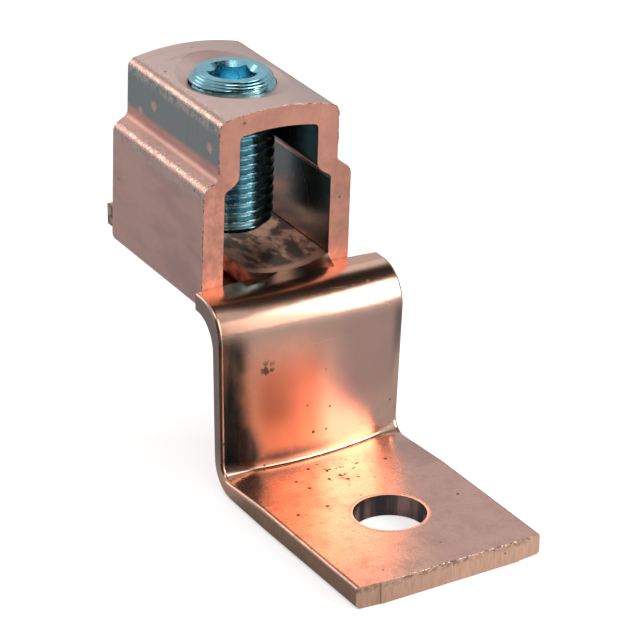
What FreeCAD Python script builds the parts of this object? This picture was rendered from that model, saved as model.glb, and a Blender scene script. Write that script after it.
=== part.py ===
import FreeCAD, Part
import math
import os

from FreeCAD import Vector

# A copper mechanical lug: a bent strap, a collar that rings its tongue, and the collar's set screw.
# Origin: the middle of the stud hole at the underside of the pad. +X runs along the strap to the
# pad's free end, +Y across it, +Z up. Millimetres and degrees.

# Strap; its pad and its free end are each turned a little out of square
strap_width = 26.0
strap_thickness = 2.85
strap_offset = -0.18
stud_hole_diameter = 9.1
hole_to_free_end = 14.05
pad_turn = 1.2
end_turn = 2.3
end_step = 0.12
end_sweep = 0.3
end_sweep_length = 3.2
long_edge_round = 0.5

# Offset between pad and shoulders, along the middle of the strap
hole_to_riser_back = 20.9
riser_foot_thickness = 3.5
riser_head_thickness = 2.7
shoulder_height = 25.2
hole_to_shoulder_end = 25.4
hole_to_bend_start = 7.5
bend_lead = 1.0
heel_radius = 4.2
crease_radius = 0.4
brow_radius = 4.7
throat_radius = 3.8

# How the bent part changes from its middle line to the strap's long edges
foot_bulge = 1.6
head_bulge = 0.6
back_bulge = 0.35
shoulder_drop = 0.3
edge_thinning = 0.85
edge_band = 3.9
crease_growth = 1.4
foot_skew = 0.55
head_skew = 0.45
back_skew = 0.2

# Tongue that runs through the collar, formed into a shallow trough, and the tail behind it
tongue_width = 11.5
tongue_offset = -0.25
tongue_thickness = 2.45
tongue_lift = 0.35
trough_radius = 15.6
tongue_ramp = 2.2
tongue_edge_round = 0.6
tail_length = 1.6
tail_trim = 1.1
tail_thickness = 2.8

# Collar section
collar_length = 25.2
collar_wall = 2.85
collar_lower_width = 20.6
collar_upper_width = 16.6
collar_side_height = 15.45
collar_crown_height = 25.1
collar_step_slope = 31.6
collar_step_wall = 2.03
crown_radius = 32.0
crown_wall = 2.7
crown_round = 1.3
step_round = 1.4
step_hollow = 1.0
bottom_round = 1.6
floor_outer_radius = 22.0
inner_corner_round = 0.5
inner_step_round = 1.7
roof_corner_round = 0.7

# Copper drawn down round the threaded hole
dish_depth = 1.0
dish_slope = 16.0

# How the loose collar sits on the tongue
collar_lean = 2.1
end_clearance = 0.05
side_clearance = 0.03
seat_clearance = 0.02

# Set screw
screw_diameter = 11.1
screw_clearance = 0.05
screw_stand = 0.5
screw_to_tongue = 1.75
rim_diameter = 9.2
rim_height = 0.95
point_diameter = 8.8
point_height = 1.1
key_width = 5.56
key_depth = 5.2
key_mouth_diameter = 6.9
key_mouth_depth = 0.65
key_bottom_angle = 120.0

half_width = strap_width / 2
half_core = half_width - 1.15 * long_edge_round
stations = (0.0, 0.3, 0.55, 0.72, 0.82, 0.91, 1.0)


def line(a, b):
    return Part.LineSegment(a, b).toShape()


def arc(a, b, c):
    return Part.Arc(a, b, c).toShape()


def bow(radius, reach):
    """Rise of an arc of the radius at the distance reach from its lowest point."""
    return radius - math.sqrt(radius ** 2 - reach ** 2)


def rounded_outline(corners):
    """Closed wire through corner points, each with the radius that rounds it; 0 leaves it sharp."""
    count = len(corners)
    stops = []
    for index, (point, radius) in enumerate(corners):
        if radius == 0:
            stops.append([point])
            continue
        before = (corners[index - 1][0] - point).normalize()
        after = (corners[(index + 1) % count][0] - point).normalize()
        half = before.getAngle(after) / 2
        reach = radius / math.tan(half)
        inward = (before + after).normalize()
        middle = point + inward * (radius / math.sin(half) - radius)
        stops.append([point + before * reach, middle, point + after * reach])
    edges = []
    for index, stop in enumerate(stops):
        if len(stop) == 3:
            edges.append(arc(*stop))
        edges.append(line(stop[-1], stops[(index + 1) % count][0]))
    return Part.Wire(edges)


# Strap: pad, bends, riser and shoulders

def edge_share(y):
    """0 over the middle of the strap, rising smoothly to 1 beside its long edges."""
    share = max(0.0, (abs(y) - half_core + edge_band) / edge_band)
    return share ** 1.5


def bend_section(y):
    """Closed outline of the bent strap at the distance y from its middle line."""
    side = y / half_core
    spread = side ** 2
    thin = edge_thinning * edge_share(y)
    back_foot = -hole_to_riser_back - back_bulge * spread - back_skew * side
    back_head = -hole_to_riser_back - back_bulge * spread
    front_foot = -hole_to_riser_back + riser_foot_thickness - foot_bulge * spread - thin - foot_skew * side
    front_head = -hole_to_riser_back + riser_head_thickness - head_bulge * spread + head_skew * side
    top = shoulder_height - shoulder_drop * spread
    under = shoulder_height - strap_thickness
    start = -hole_to_bend_start
    end = -hole_to_shoulder_end
    across = strap_offset + y
    return rounded_outline([
        (Vector(start, across, 0), 0),
        (Vector(back_foot, across, 0), heel_radius),
        (Vector(back_head, across, under), throat_radius),
        (Vector(end, across, under), 0),
        (Vector(end, across, top), 0),
        (Vector(front_head, across, top), brow_radius),
        (Vector(front_foot, across, strap_thickness - thin), crease_radius + crease_growth * edge_share(y)),
        (Vector(start - bend_lead, across, strap_thickness), 0),
        (Vector(start, across, strap_thickness), 0),
    ])


def make_pad():
    """Flat pad, turned a little in its plane, with a sheared facet at both corners of its free end."""
    start = -hole_to_bend_start
    right = strap_offset + half_width
    left = strap_offset - half_width
    drift = math.tan(math.radians(pad_turn))
    skew = math.tan(math.radians(end_turn))
    section = rounded_outline([
        (Vector(start, left, 0), long_edge_round),
        (Vector(start, right, 0), long_edge_round),
        (Vector(start, right, strap_thickness), long_edge_round),
        (Vector(start, left, strap_thickness), long_edge_round),
    ])
    reach = 2 * (hole_to_free_end - start)
    bar = Part.Face(section).extrude(Vector(reach, reach * drift, 0))

    def end(y, back):
        x = hole_to_free_end - back - y * skew
        return Vector(x, strap_offset + (x - start) * drift + y, 0)

    inset = half_width - end_sweep_length
    outer = half_width + end_sweep_length
    outline = [
        Vector(start, -outer, 0),
        end(-outer, 2 * end_sweep + end_step),
        end(-inset, end_step),
        end(-inset, 0),
        end(inset, 0),
        end(inset, end_step),
        end(outer, 2 * end_sweep + end_step),
        Vector(start, outer, 0),
    ]
    blank = Part.Face(Part.makePolygon(outline + [outline[0]])).extrude(Vector(0, 0, 3 * strap_thickness))
    blank.translate(Vector(0, 0, -strap_thickness))
    return bar.common(blank)


def make_bend():
    """Domed core of the bent strap, and a straight strip along each long edge."""
    shares = [-share for share in stations[:0:-1]] + list(stations)
    sections = [bend_section(half_core * share) for share in shares]
    strip = half_width - half_core
    left = Part.Face(sections[0]).extrude(Vector(0, -strip, 0))
    right = Part.Face(sections[-1]).extrude(Vector(0, strip, 0))
    return [Part.makeLoft(sections, True, False), left, right]


# Tongue and tail

tongue_right = tongue_offset + tongue_width / 2
tongue_left = tongue_offset - tongue_width / 2
tongue_under = shoulder_height - strap_thickness + tongue_lift
rim_under = tongue_under + bow(trough_radius, tongue_width / 2)
tail_front = -hole_to_shoulder_end - collar_length - 2 * end_clearance
tail_end = tail_front - tail_length


def trough_section(x, rise, lift):
    """Tongue's cross-section at x with its rims risen above its middle."""
    low = tongue_under + lift
    rim = low + rise
    top = tongue_thickness

    def at(y, z):
        return Vector(x, y, z)

    return Part.Wire([
        arc(at(tongue_left, rim), at(tongue_offset, low), at(tongue_right, rim)),
        line(at(tongue_right, rim), at(tongue_right, rim + top)),
        arc(at(tongue_right, rim + top), at(tongue_offset, low + top), at(tongue_left, rim + top)),
        line(at(tongue_left, rim + top), at(tongue_left, rim)),
    ])


def make_tongue():
    rise = rim_under - tongue_under
    start = -hole_to_shoulder_end
    deep = trough_section(start, rise, 0)
    shallow = trough_section(start + tongue_ramp, rise / 8, -rise / 4)
    climb = [trough_section(start + tongue_ramp * (1 - share), rise / 8 + rise * 7 / 8 * share ** 1.5,
                            -rise / 4 * (1 - share)) for share in (0.35, 0.7)]
    ramp = Part.makeLoft([shallow] + climb + [deep], True, False)
    run = Part.Face(deep).extrude(Vector(tail_front - start, 0, 0))
    lower = [e for e in run.Edges if abs(e.BoundBox.XLength) > 1 and abs(e.BoundBox.ZMax - rim_under) < 1e-6]
    run = run.makeFillet(tongue_edge_round, lower)
    return [ramp, run]


def make_tail():
    """Full-width end of the strap: two flat wings beside the trough."""
    reach = half_width - tail_trim
    top = rim_under + tail_thickness
    middle = tongue_under + tongue_thickness

    def at(y, z):
        return Vector(tail_end, y, z)

    left = strap_offset - reach
    right = strap_offset + reach
    outline = Part.Wire([
        line(at(left, rim_under), at(tongue_left, rim_under)),
        arc(at(tongue_left, rim_under), at(tongue_offset, tongue_under), at(tongue_right, rim_under)),
        line(at(tongue_right, rim_under), at(right, rim_under)),
        line(at(right, rim_under), at(right, top)),
        line(at(right, top), at(tongue_right, top)),
        arc(at(tongue_right, top), at(tongue_offset, middle), at(tongue_left, top)),
        line(at(tongue_left, top), at(left, top)),
        line(at(left, top), at(left, rim_under)),
    ])
    return Part.Face(outline).extrude(Vector(tail_length, 0, 0))


def make_tang():
    core, left, right = make_bend()
    bent = core.fuse([left, right] + make_tongue() + [make_tail()]).removeSplitter()
    rounded = []
    for edge in bent.Edges:
        box = edge.BoundBox
        on_side = box.YLength < 1e-6 and abs(abs(box.YMin - strap_offset) - half_width) < 1e-6
        at_end = box.XLength < 1e-6 and min(abs(box.XMin + hole_to_shoulder_end),
                                            abs(box.XMin + hole_to_bend_start)) < 1e-6
        if on_side and not at_end:
            rounded.append(edge)
    bent = bent.makeFillet(long_edge_round, rounded)
    strap = bent.fuse(make_pad()).removeSplitter()
    hole = Part.makeCylinder(stud_hole_diameter / 2, 3 * strap_thickness, Vector(0, 0, -strap_thickness))
    return strap.cut(hole)


# Collar, drawn upright with the lowest point of its inner floor at height 0

bore_radius = screw_diameter / 2 + screw_clearance
rim_level = collar_crown_height - dish_depth
collar_front = -hole_to_shoulder_end - end_clearance
collar_middle = collar_front - collar_length / 2
lower_half = collar_lower_width / 2
upper_half = collar_upper_width / 2
step_gradient = math.tan(math.radians(collar_step_slope))


def hat_solid(lower, upper, floor_radius, low, step_at, top_radius, top):
    """Solid of a stepped section with a bowed floor and a crowned top, over the collar's length."""
    floor_edge = low + bow(floor_radius, lower)
    step_low = step_at + (lower_half - lower) * step_gradient
    step_high = step_at + (lower_half - upper) * step_gradient
    top_edge = top - bow(top_radius, upper)
    x = collar_front - collar_length

    def at(y, z):
        return Vector(x, y, z)

    outline = Part.Wire([
        arc(at(-lower, floor_edge), at(0, low), at(lower, floor_edge)),
        line(at(lower, floor_edge), at(lower, step_low)),
        line(at(lower, step_low), at(upper, step_high)),
        line(at(upper, step_high), at(upper, top_edge)),
        arc(at(upper, top_edge), at(0, top), at(-upper, top_edge)),
        line(at(-upper, top_edge), at(-upper, step_high)),
        line(at(-upper, step_high), at(-lower, step_low)),
        line(at(-lower, step_low), at(-lower, floor_edge)),
    ])
    solid = Part.Face(outline).extrude(Vector(collar_length, 0, 0))
    return solid, [floor_edge, step_low, step_high, top_edge]


def round_corners(solid, heights, radii):
    """Rounds the lengthwise corners that lie at each height, each pair with its own radius."""
    for height, radius in zip(heights, radii):
        corners = []
        for edge in solid.Edges:
            box = edge.BoundBox
            if box.XLength > 1 and box.ZLength < 1e-6 and abs(box.ZMin - height) < 1e-6:
                corners.append(edge)
        solid = solid.makeFillet(radius, corners)
    return solid


def make_upright_collar():
    outside, outer_heights = hat_solid(
        lower_half, upper_half, floor_outer_radius, -collar_wall,
        collar_side_height, crown_radius, collar_crown_height)
    outside = round_corners(outside, outer_heights, [bottom_round, step_round, step_hollow, crown_round])
    step_drop = collar_step_wall / math.cos(math.radians(collar_step_slope))
    inside, inner_heights = hat_solid(
        lower_half - collar_wall, upper_half - collar_wall, trough_radius, 0,
        collar_side_height - step_drop, crown_radius - crown_wall, collar_crown_height - crown_wall)
    inside = round_corners(inside, inner_heights,
                           [inner_corner_round, inner_corner_round, inner_step_round, roof_corner_round])
    ring = outside.cut(inside)
    foot = Vector(collar_middle, 0, rim_level)
    flare = 2 * dish_depth
    spread = flare / math.tan(math.radians(dish_slope))
    dish = Part.makeCone(bore_radius, bore_radius + spread, flare, foot)
    bore_foot = collar_side_height / 2
    bore = Part.makeCylinder(bore_radius, collar_crown_height - bore_foot, Vector(collar_middle, 0, bore_foot))
    return ring.cut(dish).cut(bore)


# Set screw, drawn upright in the collar's own frame

def make_upright_screw():
    top = collar_crown_height + screw_stand
    tip = rim_under - tongue_under + tongue_thickness + screw_to_tongue
    radius = screw_diameter / 2
    outline = [
        Vector(0, 0, tip),
        Vector(point_diameter / 2, 0, tip),
        Vector(radius, 0, tip + point_height),
        Vector(radius, 0, top - rim_height),
        Vector(rim_diameter / 2, 0, top),
        Vector(0, 0, top),
    ]
    face = Part.Face(Part.makePolygon(outline + [outline[0]]))
    shank = face.revolve(Vector(0, 0, 0), Vector(0, 0, 1), 360)
    corner = key_width / 2 / math.cos(math.radians(30))
    ring = []
    for index in range(7):
        angle = math.radians(60 * index)
        ring.append(Vector(corner * math.cos(angle), corner * math.sin(angle), top - key_depth))
    socket = Part.Face(Part.makePolygon(ring)).extrude(Vector(0, 0, key_depth + 1))
    mouth_slope = (key_mouth_diameter / 2 - key_width / 2) / key_mouth_depth
    mouth_bottom = key_width / 2
    mouth = Part.makeCone(mouth_bottom, mouth_bottom + 2 * key_mouth_depth * mouth_slope,
                          2 * key_mouth_depth, Vector(0, 0, top - key_mouth_depth))
    drill_depth = key_width / 2 / math.tan(math.radians(key_bottom_angle / 2))
    drill = Part.makeCone(0, key_width / 2, drill_depth, Vector(0, 0, top - key_depth - drill_depth))
    screw = shank.cut(socket).cut(mouth).cut(drill)
    screw.translate(Vector(collar_middle, 0, 0))
    return screw


# Placing of the collar and its screw: the collar leans until its right wall and its floor meet the
# tongue's right edge

def settle(shape):
    lean = math.radians(collar_lean)
    floor_reach = trough_radius - seat_clearance
    wall_reach = lower_half - collar_wall - side_clearance
    floor_middle = tongue_right
    for _ in range(8):
        drop = math.sqrt(floor_reach ** 2 - (tongue_right - floor_middle) ** 2)
        floor_middle = tongue_right - wall_reach / math.cos(lean) + drop * math.tan(lean)
    placed = shape.copy()
    placed.rotate(Vector(0, 0, trough_radius), Vector(1, 0, 0), -collar_lean)
    placed.translate(Vector(0, floor_middle, rim_under + drop - trough_radius))
    return placed


os.makedirs("parts", exist_ok=True)
tang = make_tang()
collar = settle(make_upright_collar())
set_screw = settle(make_upright_screw())
tang.exportStep("parts/tang.step")
collar.exportStep("parts/collar.step")
set_screw.exportStep("parts/set_screw.step")
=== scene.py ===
import math

import bmesh
import bpy
from bpy.props import FloatProperty, FloatVectorProperty, PointerProperty
from mathutils import Matrix, Vector


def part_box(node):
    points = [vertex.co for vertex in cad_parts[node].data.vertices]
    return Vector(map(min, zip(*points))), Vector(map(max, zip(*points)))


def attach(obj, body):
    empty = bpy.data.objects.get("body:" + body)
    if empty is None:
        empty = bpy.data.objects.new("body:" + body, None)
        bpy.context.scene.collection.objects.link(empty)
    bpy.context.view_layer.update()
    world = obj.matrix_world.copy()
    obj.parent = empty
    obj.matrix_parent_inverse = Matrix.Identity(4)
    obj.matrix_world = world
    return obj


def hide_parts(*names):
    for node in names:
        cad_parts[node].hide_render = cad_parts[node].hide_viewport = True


bl_info = {
    "name": "Mechanical Lug Looks",
    "version": (1, 0, 0),
    "blender": (4, 5, 0),
    "location": "3D View > Sidebar > Lug",
    "description": "Dresses a copper mechanical lug: rolled strap, drawn collar and zinc plated set screw",
    "category": "Object",
}

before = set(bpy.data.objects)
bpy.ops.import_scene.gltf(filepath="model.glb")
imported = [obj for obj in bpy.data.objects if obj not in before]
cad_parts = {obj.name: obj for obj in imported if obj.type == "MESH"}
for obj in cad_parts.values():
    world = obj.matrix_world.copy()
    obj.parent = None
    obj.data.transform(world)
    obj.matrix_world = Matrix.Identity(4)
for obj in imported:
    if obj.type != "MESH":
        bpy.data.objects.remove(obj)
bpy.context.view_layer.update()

WHITE = (1.0, 1.0, 1.0)

# Strap, in metres; PAD_TURN and END_TURN are slopes, and a mask steps between a pair's two values

BEND_START = -0.0075
FREE_END = 0.01405
PAD_SHIFT = 0.00018
PAD_TURN = 0.02095
END_TURN = 0.0402
PAD_TOP = (0.00280, 0.00284)
PAD_CEILING = (0.0031, 0.0042)
PAD_BACK = (-0.0172, -0.0150)
SIDE_FACE = (0.01285, 0.01297)
END_FACE = (0.01335, 0.01345)
HOLE_WALL = (0.00456, 0.00460)
HOLE_RIM = (0.00475, 0.00490)
HOLE_ROLLED_IN = (0.0045, 0.0051)
ROLLED_IN_DEPTH = 25.0
RISER_FOOT = (0.0030, 0.0042)
RISER_HEAD = (0.019, 0.022)
RISER_FRONT = (-0.0150, -0.0142)
RISER_BACK = (-0.0196, -0.0190)
TONGUE_FRONT = (-0.0275, -0.0262)
TONGUE_TOP = (0.0205, 0.0215)
# Where the painted orange reflection lies on the riser's lower middle
ORANGE_REFLECTION_MIDDLE = -0.0040
ORANGE_REFLECTION_REACH = (0.0025, 0.0065)
ORANGE_REFLECTION_HEAD = (0.0135, 0.0200)
# Where the painted darker pinkish reflection lies on the riser's upper right and the pad's right
ROSE_LEFT = (0.0005, 0.0055)
ROSE_FOOT = (0.0075, 0.0115)
ROSE_PAD = (-0.0010, 0.0050)
ROSE_SKEW = 0.3
# Where the painted dark reflection on the riser's edges and the painted shade over its crease lie
DARK_LEFT = (-0.0125, -0.0100)
DARK_RIGHT = (0.0108, 0.0122)
DARK_RIGHT_SHARE = 0.6
DARK_RAGGED = 0.0022
DARK_SPREAD = (0.004, 0.011)
CREASE_HEAD = (0.0036, 0.0056)
CREASE_RIGHT = (-0.003, 0.006)
STANDING_FOOT = (0.003, 0.006)
STANDING_HEAD = (0.017, 0.021)
STANDING_BACK = (-0.0205, -0.0195)
SIDE_FOOT = (0.0020, 0.0060)
SIDE_BACK = (-0.0300, -0.0260)
TORN_FOOT = (0.0019, 0.0026)
FLECK_SPOT = (-0.0178, -0.0070, 0.0161)
FLECK_REACH = (0.0005, 0.0017)
FLECK_LIFT = 0.22
SPECK_SPOT = (-0.0118, 0.0005, 0.0028)
SPECK_REACH = (0.0020, 0.0055)
SPECK_LIFT = 0.09
PAD_EDGE_POINTS = (-0.0078, 0.0, 0.0096)

# Collar and screw, in metres from the collar's foot with its lean taken out

LEAN = math.radians(2.1)
COLLAR_FOOT = (-0.03805, -0.0019847, 0.022171)
LOWER_HALF = 0.0103
UPPER_HALF = 0.0083
SIDE_HEIGHT = 0.01545
STEP_HEIGHT = 0.01668
CROWN_HEIGHT = 0.0251
CROWN_DROP = 0.001095
SHOULDER_HEIGHT = CROWN_HEIGHT - CROWN_DROP
CROWN_SHARES = (-0.75, -0.5, -0.25, 0.0, 0.25, 0.5, 0.75)
SIDE_ROUND = 0.0014
STEP_ROUND = 0.0010
SHOULDER_ROUND = 0.0013
SAWN_FACE = (0.01256, 0.01259)
LOWER_INSIDE = (0.0088, 0.0089)
LOWER_CEILING = (0.0142, 0.0143)
UPPER_INSIDE = (0.0068, 0.0069)
UPPER_CEILING = (0.0236, 0.0237)
INSIDE_FLOOR = (-0.0015, -0.0014)
UPPER_WALL_FOOT = (0.0176, 0.0186)
UPPER_WALL_REACH = (0.0078, 0.0082)
UPPER_WALL_HEAD = (0.0232, 0.0244)
HOLLOW_FOOT = (0.0152, 0.0162)
HOLLOW_HEAD = (0.0180, 0.0186)
CROWN_TOP = (0.0236, 0.0243)
CROWN_REACH = (0.0066, 0.0080)
PINK_SPOTS = ((-0.0088, -0.0083, 0.0183), (-0.0051, -0.0083, 0.0203), (0.0100, -0.0083, 0.0201))
PINK_REACH = (0.0009, 0.0014)
PINK_RAGGED = 0.0009
LOW_INSIDE = (0.0012, 0.0062)
SAWN_RIGHT = (0.0060, 0.0085)
SAWN_HEAD = (0.012, 0.021)
CROWN_CORNER = {"Corner_Y": 0.0080, "Corner_Z": 0.0238, "Reach": 0.0019}
STEP_CORNER = {"Corner_Y": 0.0098, "Corner_Z": 0.0151, "Reach": 0.0019}
SCREW_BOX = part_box("set_screw")
SCREW_AXIS = Vector((0.0, math.sin(LEAN), math.cos(LEAN)))
SOCKET_REACH = (0.0031, 0.0037)
SHANK_HEAD = (0.0220, 0.0240)
ROUND_FACES = 96
HEIGHT_FACES = 320
FLANK_LIMITS = (0.16, 0.86)
THREAD_RUNOUT = 0.00035
TURNS_AHEAD = 8.0
GROOVE_PITCH = 0.00031
GROOVE_DEPTH = 0.00011
EDGE_BAND = 0.0002
POINT_BAND = 0.0004
POINT_CORE = 0.0008
DRILL_ANGLE = math.radians(60)
DRILL_SHARE = 0.96
DRILL_STEP = 0.0001
DRILL_TIP_RADIUS = 0.0004
SHARP_ANGLE = math.radians(35)
WELD_REACH = 1e-6

# Burrs

BURR_LENGTH = 0.00022
BURR_THICKNESS = 0.00007
BURR_SEED = 3
BURR_SCATTER = 0.6
SMALLEST_BURR = 0.25
BURR_FOOT = 0.0004
BURR_END = 0.0190
COLLAR_BURRS = 330
PAD_BURRS = 150
ROUND_STEPS = 4

# Grain and shine that the finishes share

FINE_LIMITS = (0.3, 0.7)
BROAD_LIMITS = (0.35, 0.7)
SIDE_MATT = 0.75
STRAP_MATT = 0.55
COLLAR_MATT = 0.35

# Colours that stay the same whatever the copper and the zinc are set to

PIT_BROWN = (0.10, 0.085, 0.06, 1.0)
HOLE_BROWN = (0.13, 0.10, 0.09, 1.0)
# Painted orange reflection on the riser's lower middle
ORANGE_REFLECTION_RED = (0.66, 0.22, 0.12, 1.0)
# Painted darker pinkish reflection on the riser's upper right and the pad's right
ROSE_REFLECTION = (0.68, 0.35, 0.29, 1.0)
# Painted shade and dark reflections on the tongue inside the collar
TONGUE_SHADE_BLACK = (0.05, 0.045, 0.04, 1.0)
TORN_BROWN = (0.22, 0.13, 0.09, 1.0)
SIDE_SHADE = (0.16, 0.14, 0.14, 1.0)
RIM_GLINT = (1.0, 0.70, 0.50, 1.0)
CROWN_PINK = (0.88, 0.59, 0.50, 1.0)
COLLAR_PIT = (0.14, 0.12, 0.10, 1.0)
# Painted lighter reflection in the hexagon socket
SOCKET_REFLECTION_BLUE = (0.45, 0.83, 0.95, 1.0)
# Painted shade on the shank inside the collar
SHANK_SHADE = (0.10, 0.22, 0.24, 1.0)
ZINC_PIT = (0.08, 0.14, 0.17, 1.0)
BURR_BLACK = (0.10, 0.085, 0.07, 1.0)

# Studio. Each softbox has its name, its place, its width and height, its brightness and its colour.

VIEW_MIDDLE = Vector((-0.0200, 0.001401, 0.020143))
LAMPS = (
    ("Right softbox", (0.28, 0.29, 0.20), (0.27, 0.38), "key", WHITE),
    ("Front softbox", (0.42, 0.09, 0.20), (0.22, 0.34), "front", WHITE),
    ("High softbox", (0.128, -0.083, 0.40), (0.16, 0.12), "high", WHITE),
    ("Back left softbox", (-0.36, -0.26, 0.24), (0.30, 0.20), "rim", WHITE),
    ("Back softbox", (-0.40, 0.22, 0.34), (0.34, 0.20), "back", (0.84, 0.92, 1.0)),
)
SENSOR_WIDTH = 36.0
CLIP_LIMITS = (0.01, 20.0)
FLOOR_REACH = 3.0
FLOOR_DROP = 0.0001
FLOOR_GLOW = 0.55
CARD_BACK = (-0.019, -0.015)
CARD_FRONT = (0.12, 0.2)
CARD_RIGHT = (-0.010, 0.002)
OVERHEAD_WAY = (0.0, 0.45, 0.893)
FRONT_LEFT_WAY = (0.80, -0.58, 0.15)
ROOM_LEVEL = 0.55
ROOM_COOL = (0.78, 0.92, 1.0, 1.0)


# Sizes and colours

COLOUR = {"subtype": "COLOR", "size": 3, "min": 0.0, "max": 1.0}
SHARE = {"subtype": "FACTOR", "min": 0.0, "max": 1.0}
LENGTH = {"subtype": "DISTANCE", "unit": "LENGTH"}
TURN = {"subtype": "ANGLE", "unit": "ROTATION"}


class CopperLook(bpy.types.PropertyGroup):
    """Colours, wear, painted shade and painted reflections of the copper strap and collar."""
    rolled: FloatVectorProperty(
        name="Rolled copper", description="Colour of the strap's rolled faces",
        default=(0.93, 0.505, 0.355), **COLOUR)
    drawn: FloatVectorProperty(
        name="Drawn copper", description="Colour of the collar's outer faces",
        default=(1.0, 0.52, 0.41), **COLOUR)
    sawn: FloatVectorProperty(
        name="Sawn copper", description="Colour of the collar's cut ends",
        default=(0.84, 0.37, 0.26), **COLOUR)
    tarnish: FloatVectorProperty(
        name="Tarnish", description="Colour that dulls the collar's outer faces in clouds",
        default=(0.68, 0.37, 0.32), **COLOUR)
    # Colour of the painted grey reflection on the collar's upper side walls
    wall_reflection: FloatVectorProperty(
        name="Dull wall", description="Grey tarnish on the collar's upper side walls",
        default=(0.42, 0.39, 0.355), **COLOUR)
    # Colour of the painted shade inside the collar
    inner: FloatVectorProperty(
        name="Inner wall", description="Tarnish inside the collar",
        default=(0.25, 0.205, 0.18), **COLOUR)
    # Colour of the painted red reflection low inside the collar
    inside_red_reflection: FloatVectorProperty(
        name="Inner floor", description="Clean red copper low inside the collar",
        default=(0.95, 0.32, 0.18), **COLOUR)
    rubbed: FloatVectorProperty(
        name="Rubbed edge", description="Bright specks along the collar's rounded edges",
        default=(0.92, 0.61, 0.47), **COLOUR)
    # Colour of the painted dark reflection on the riser's left facet and right edge, and of the painted
    # shade over its crease
    facet: FloatVectorProperty(
        name="Facet", description="Dark tarnish on the riser's left facet",
        default=(0.06, 0.08, 0.08), **COLOUR)
    sheared: FloatVectorProperty(
        name="Sheared copper", description="Colour of the strap's sheared side and end faces",
        default=(0.78, 0.46, 0.32), **COLOUR)
    polish: FloatProperty(
        name="Bend roughness", description="Roughness of the strap where it is bent",
        default=0.22, **SHARE)
    satin: FloatProperty(
        name="Pad roughness", description="Roughness of the flat pad",
        default=0.29, **SHARE)


class ScrewLook(bpy.types.PropertyGroup):
    """Sizes and colours of the set screw."""
    diameter: FloatProperty(
        name="Diameter", description="Thread's crest diameter",
        default=0.0111, **LENGTH)
    pitch: FloatProperty(
        name="Pitch", description="Height of one turn of the thread",
        default=0.00127, **LENGTH)
    thread_depth: FloatProperty(
        name="Thread depth", description="Depth of the thread from crest to root",
        default=0.00066, **LENGTH)
    rim: FloatProperty(
        name="Rim diameter", description="Diameter of the flat top face",
        default=0.0092, **LENGTH)
    rim_height: FloatProperty(
        name="Rim bevel height", description="Height of the bevel below the top face",
        default=0.00095, **LENGTH)
    point: FloatProperty(
        name="Point diameter", description="Diameter of the flat point",
        default=0.0088, **LENGTH)
    point_height: FloatProperty(
        name="Point height", description="Height of the tapered point",
        default=0.0011, **LENGTH)
    key: FloatProperty(
        name="Key size", description="Width across the flats of the hexagon socket",
        default=0.00556, **LENGTH)
    key_depth: FloatProperty(
        name="Key depth", description="Depth of the hexagon socket",
        default=0.0052, **LENGTH)
    mouth: FloatProperty(
        name="Socket mouth", description="Diameter of the bevel at the socket's mouth",
        default=0.0069, **LENGTH)
    mouth_depth: FloatProperty(
        name="Mouth depth", description="Depth of the bevel at the socket's mouth",
        default=0.00065, **LENGTH)
    zinc: FloatVectorProperty(
        name="Zinc", description="Colour of the blue zinc plating",
        default=(0.44, 0.75, 0.82), **COLOUR)


class StageLook(bpy.types.PropertyGroup):
    """Floor, lamps and camera."""
    floor: FloatVectorProperty(
        name="Floor", description="Colour of the floor",
        default=(0.9, 0.9, 0.9), **COLOUR)
    card: FloatVectorProperty(
        name="Card", description="Colour of the dark card that the riser reflects",
        default=(0.03, 0.07, 0.09), **COLOUR)
    cool: FloatVectorProperty(
        name="Mirrored floor", description="Colour of the floor in reflections",
        default=(0.50, 0.60, 0.68), **COLOUR)
    lens: FloatProperty(
        name="Lens", description="Focal length of the camera in millimetres",
        subtype="DISTANCE_CAMERA", default=191.34)
    azimuth: FloatProperty(
        name="Azimuth", description="Camera's direction round the lug",
        default=math.radians(60.907), **TURN)
    elevation: FloatProperty(
        name="Elevation", description="Camera's height angle",
        default=math.radians(25.296), **TURN)
    distance: FloatProperty(
        name="Distance", description="Camera's distance from the lug",
        default=0.422642, **LENGTH)
    key: FloatProperty(
        name="Key lamp", description="Brightness of the softbox at the front right",
        min=0.0, default=4.4)
    front: FloatProperty(
        name="Front lamp", description="Brightness of the softbox in front of the pad",
        min=0.0, default=1.0)
    high: FloatProperty(
        name="High lamp", description="Brightness of the small softbox above the camera",
        min=0.0, default=2.4)
    rim: FloatProperty(
        name="Edge lamp", description="Brightness of the softbox at the back left",
        min=0.0, default=1.3)
    back: FloatProperty(
        name="Back lamp", description="Brightness of the softbox at the back",
        min=0.0, default=0.42)


# Node helpers

def socket(tree, name, kind, output=False, default=None):
    item = tree.interface.new_socket(name, in_out="OUTPUT" if output else "INPUT", socket_type=kind)
    if default is not None:
        item.default_value = default


def feed(value, target):
    """Link a socket to the target input, or set the input to a plain value."""
    if isinstance(value, bpy.types.NodeSocket):
        target.id_data.links.new(value, target)
    else:
        target.default_value = value


def add(tree, kind, fed=None, **settings):
    """New node with its settings; fed says what goes into its inputs, by their names or numbers."""
    node = tree.nodes.new(kind)
    for key, value in settings.items():
        setattr(node, key, value)
    for key, value in (fed or {}).items():
        feed(value, node.inputs[key])
    return node


def math_node(operation, *values, clamp=False):
    tree = next(value.id_data for value in values if isinstance(value, bpy.types.NodeSocket))
    node = add(tree, "ShaderNodeMath", dict(enumerate(values)), operation=operation, use_clamp=clamp)
    return node.outputs[0]


def times(first, *others):
    for other in others:
        first = math_node("MULTIPLY", first, other)
    return first


def plus(first, second):
    return math_node("ADD", first, second)


def minus(first, second):
    return math_node("SUBTRACT", first, second)


def over(first, second, clamp=False):
    return math_node("DIVIDE", first, second, clamp=clamp)


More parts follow.
